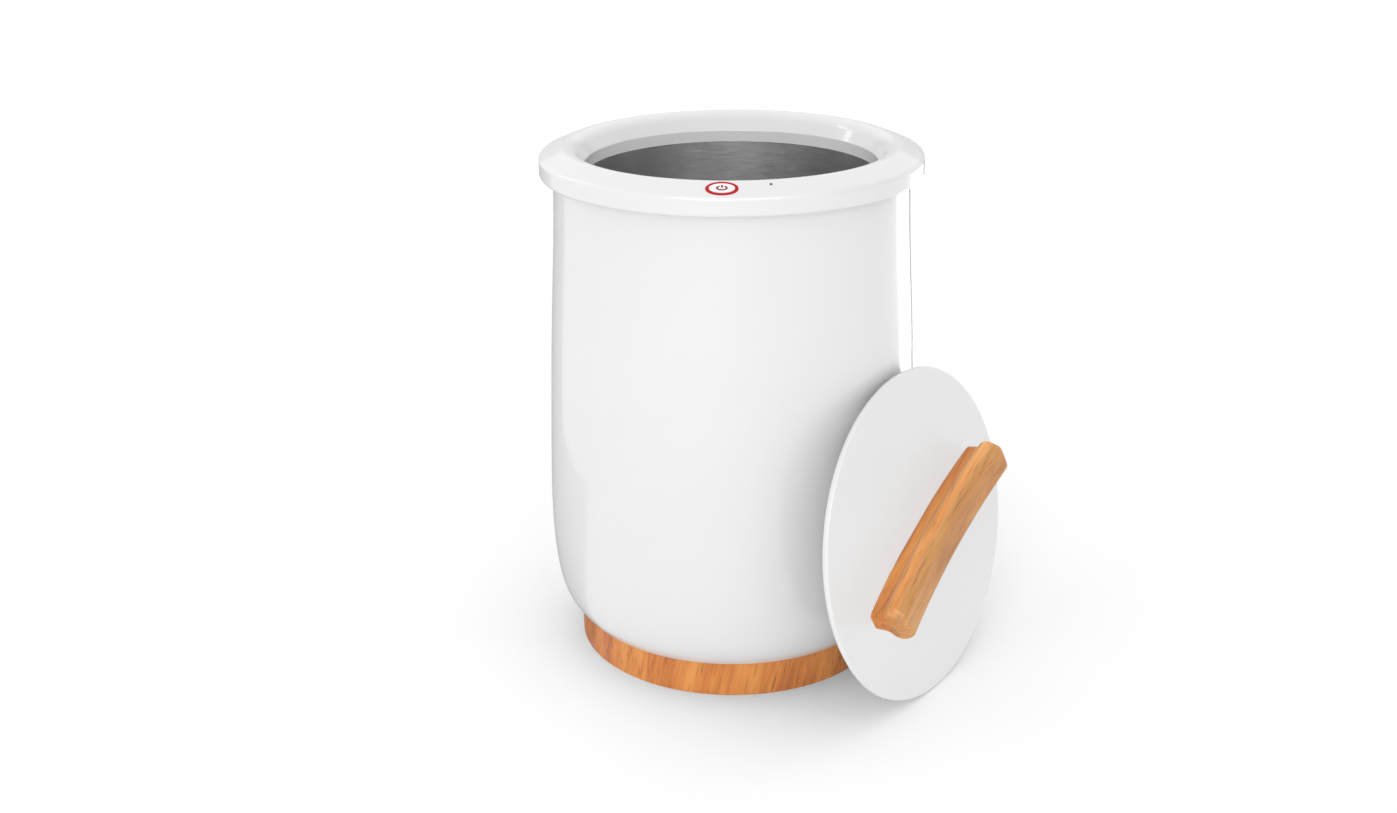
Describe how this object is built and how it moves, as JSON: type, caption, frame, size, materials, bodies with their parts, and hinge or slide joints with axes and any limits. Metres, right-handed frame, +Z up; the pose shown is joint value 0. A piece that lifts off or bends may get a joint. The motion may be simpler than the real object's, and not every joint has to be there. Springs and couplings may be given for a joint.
{
  "type": "bucket towel warmer",
  "caption": "Round bucket towel warmer with a sloped collar, aluminium drum, lit oval power button, wooden base ring and a lift-off lid with a wooden bar handle.",
  "frame": {"origin": "on the floor, under the centre of the drum, at the middle foot", "axes": "+Z up along the drum's axis; -Y is the front, where the power button is; the lid leans at the front right, towards +X -Y"},
  "size_m": [0.3757, 0.3595, 0.4202],
  "materials": {
    "gloss_white": "glossy moulded shell",
    "lid_white": "satin moulded lid",
    "cap_white": "glossy button cap",
    "symbol_red": "red inlay",
    "ring_red": "translucent red light guide, lit",
    "drum_metal": "satin spun aluminium",
    "base_wood": "oiled wood, streaked grain",
    "handle_wood": "oiled wood, grain along the bar",
    "grey_plastic": "fine matt texture",
    "dark_plastic": "matt",
    "black_rubber": "matt rubber",
    "silicone": "translucent silicone",
    "heater_foil": "silicone heater foil",
    "lead_rubber": "insulated lead",
    "felt": "needled felt",
    "foam": "closed-cell foam",
    "steel": "plated steel",
    "board": "solder-masked circuit board",
    "led_lens": "clear lens",
    "smoked_lens": "smoked lens"
  },
  "bodies": {
    "housing": {"base_plate": "grey_plastic", "base_ring": "base_wood", "base_screws": "steel", "blanket_bands": "steel", "board_screws": "steel", "board_socket": "grey_plastic", "button_board": "board", "button_board_screws": "steel", "button_lead": "lead_rubber", "button_ring": "ring_red", "button_socket": "grey_plastic", "cord_gland": "black_rubber", "drum_stand": "grey_plastic", "filter_capacitor": "dark_plastic", "heater_band": "heater_foil", "heater_lead": "lead_rubber", "heater_terminal": "dark_plastic", "indicator_led": "led_lens", "indicator_lens": "smoked_lens", "inner_drum": "drum_metal", "insulation_blanket": "felt", "main_board": "board", "outer_shell": "gloss_white", "relay": "dark_plastic", "rim_screws": "steel", "rim_under_ring": "gloss_white", "ring_leds": "led_lens", "rubber_feet": "black_rubber", "stand_pads": "silicone", "stand_screws": "steel", "tact_switch": "dark_plastic", "temperature_sensor": "steel", "terminal_block": "grey_plastic", "thermal_cutout": "dark_plastic", "top_rim": "gloss_white", "transformer": "dark_plastic"},
    "button": {"button_cap": "cap_white", "button_symbol": "symbol_red"},
    "lid": {"lid_cover": "lid_white", "lid_insulation": "foam", "lid_liner": "lid_white", "lid_gasket": "silicone", "liner_screws": "steel", "handle_washers": "steel", "handle_screws": "steel", "lid_handle": "handle_wood"}
  },
  "joints": [
    {"name": "power_button", "type": "slide", "parent": "housing", "child": "button", "axis": [0, 0.3827, -0.9239], "range_m": [0, 0.001], "stiffness_N_per_m": 400},
    {"name": "lid_tilt", "type": "hinge", "parent": "housing", "child": "lid", "pos_m": [0.16944, -0.10316, 0.00085], "axis": [0.5461, 0.8377, 0], "range_deg": [0, 75]}
  ]
}
